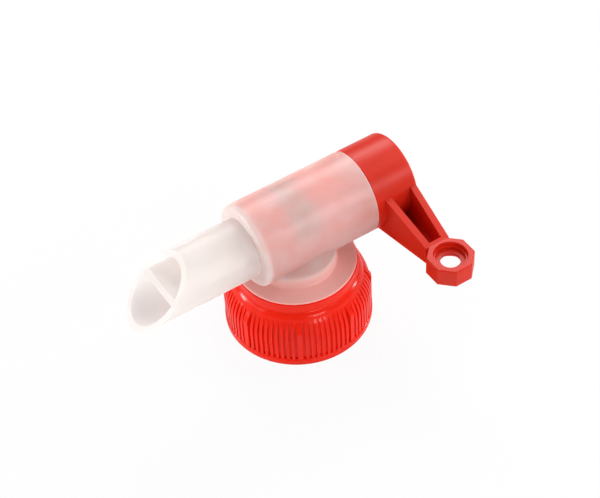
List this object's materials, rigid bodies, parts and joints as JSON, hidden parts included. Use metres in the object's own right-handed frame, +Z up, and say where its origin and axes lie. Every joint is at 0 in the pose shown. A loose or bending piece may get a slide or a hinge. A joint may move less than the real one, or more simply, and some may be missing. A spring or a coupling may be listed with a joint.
{
  "type": "jerrycan tap",
  "caption": "Jerrycan tap: translucent barrel with a slanted spout on a ribbed red screw cap, and a red turning plug with a lever and a ring end.",
  "frame": {"origin": "centre of the screw cap's mouth, in the plane of its rim, where the tap stands", "axes": "+Z up along the cap's axis; the barrel lies along X with the spout towards -X; the closed lever points to -Y"},
  "size_m": [0.119, 0.0875, 0.0663],
  "materials": {
    "natural_hdpe": "translucent satin moulding",
    "red_plug": "satin moulding",
    "red_cap": "gloss moulding",
    "foam": "closed-cell foam"
  },
  "bodies": {
    "body": {"tap_body": "natural_hdpe", "neck_gasket": "foam"},
    "plug": {"lever_plug": "red_plug"},
    "cap": {"screw_cap": "red_cap"}
  },
  "joints": [
    {"name": "lever_turn", "type": "hinge", "parent": "body", "child": "plug", "pos_m": [0, 0, 0.0495], "axis": [-1, 0, 0], "range_deg": [0, 180]},
    {"name": "cap_spin", "type": "hinge", "parent": "body", "child": "cap", "pos_m": [0, 0, 0], "axis": [0, 0, 1], "continuous": true}
  ]
}
